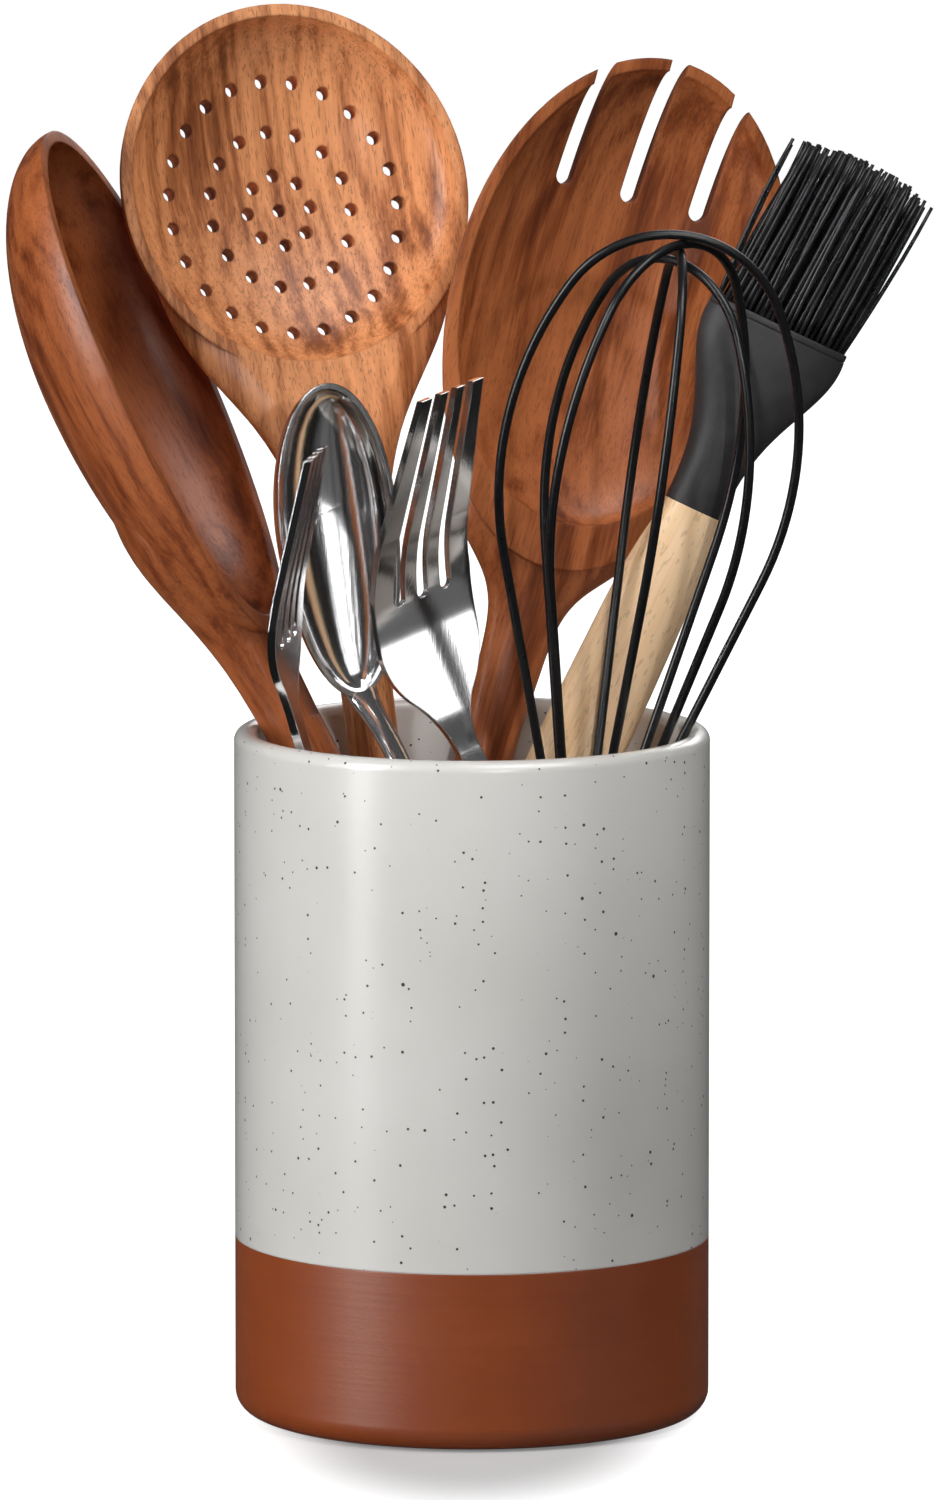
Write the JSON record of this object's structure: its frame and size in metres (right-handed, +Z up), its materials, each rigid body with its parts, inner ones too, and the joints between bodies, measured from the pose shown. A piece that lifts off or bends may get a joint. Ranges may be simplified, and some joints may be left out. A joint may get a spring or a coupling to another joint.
{
  "type": "utensil crock",
  "caption": "Cylindrical two-tone stoneware crock standing on its foot ring, holding kitchen tools that lift out: wooden spoons, steel cutlery, a balloon whisk and a basting brush.",
  "frame": {"origin": "centre of the foot ring, on the surface that the crock stands on", "axes": "+Z up along the crock's axis, -Y the front that the picture looks at, +X to the right from the front"},
  "size_m": [0.2462, 0.1579, 0.3684],
  "materials": {
    "terracotta_clay": "satin",
    "speckled_glaze": "gloss",
    "acacia": "oiled",
    "beech": "satin",
    "polished_steel": "polished",
    "brushed_collar": "brushed",
    "steel_core": "plain",
    "black_silicone": "matte"
  },
  "bodies": {
    "crock": {"crock_body": "terracotta_clay", "glaze_coat": "speckled_glaze"},
    "serving_spoon": {"serving_spoon": "acacia"},
    "slotted_spoon": {"slotted_spoon": "acacia"},
    "spork": {"spork": "acacia"},
    "steel_spoon": {"steel_spoon": "polished_steel"},
    "side_fork": {"side_fork": "polished_steel"},
    "front_fork": {"front_fork": "polished_steel"},
    "whisk": {"whisk_handle": "beech", "whisk_collar": "brushed_collar", "whisk_wire_1": "black_silicone", "whisk_wire_2": "black_silicone", "whisk_wire_3": "black_silicone", "whisk_wire_4": "black_silicone"},
    "brush": {"brush_handle": "beech", "brush_core": "steel_core", "brush_head": "black_silicone", "brush_bristles": "black_silicone"}
  },
  "joints": [
    {"name": "serving_spoon_lift", "type": "slide", "parent": "crock", "child": "serving_spoon", "axis": [-0.4625, 0.1429, 0.875], "range_m": [0, 0.22]},
    {"name": "slotted_spoon_lift", "type": "slide", "parent": "crock", "child": "slotted_spoon", "axis": [-0.123, 0.1191, 0.9852], "range_m": [0, 0.195]},
    {"name": "spork_lift", "type": "slide", "parent": "crock", "child": "spork", "axis": [0.2684, 0.1039, 0.9577], "range_m": [0, 0.2]},
    {"name": "steel_spoon_lift", "type": "slide", "parent": "crock", "child": "steel_spoon", "axis": [-0.3559, 0.048, 0.9333], "range_m": [0, 0.205]},
    {"name": "side_fork_lift", "type": "slide", "parent": "crock", "child": "side_fork", "axis": [-0.225, -0.0752, 0.9714], "range_m": [0, 0.195]},
    {"name": "front_fork_lift", "type": "slide", "parent": "crock", "child": "front_fork", "axis": [-0.2707, -0.07, 0.9601], "range_m": [0, 0.2]},
    {"name": "whisk_lift", "type": "slide", "parent": "crock", "child": "whisk", "axis": [0.1398, -0.1762, 0.9744], "range_m": [0, 0.195]},
    {"name": "brush_lift", "type": "slide", "parent": "crock", "child": "brush", "axis": [0.4277, 0.0834, 0.9001], "range_m": [0, 0.21]}
  ]
}
